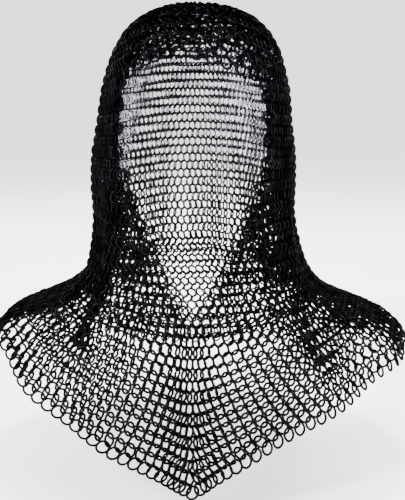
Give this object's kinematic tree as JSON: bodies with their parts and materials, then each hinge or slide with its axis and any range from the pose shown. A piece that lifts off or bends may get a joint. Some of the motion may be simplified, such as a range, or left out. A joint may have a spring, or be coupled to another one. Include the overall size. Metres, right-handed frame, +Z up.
{
  "type": "chainmail coif",
  "caption": "Hood of linked steel rings, open at the face with a V to the throat, widening into a mantle that lies over the shoulders and ends in a point on the chest.",
  "frame": {"origin": "the inside of the crown, where the wearer's head carries the mail", "axes": "+Z up, the face looks along -Y, +X to the right of someone looking at the face"},
  "size_m": [0.4197, 0.3178, 0.4192],
  "materials": {
    "mail": "oil-blackened mild steel wire, bent into butted rings"
  },
  "bodies": {
    "root": {"crown": "mail", "hood_left": "mail", "hood_right": "mail", "hood_nape": "mail", "mantle_chest_left": "mail", "mantle_chest_right": "mail", "mantle_shoulder_left": "mail", "mantle_shoulder_right": "mail", "mantle_back": "mail"}
  },
  "joints": []
}
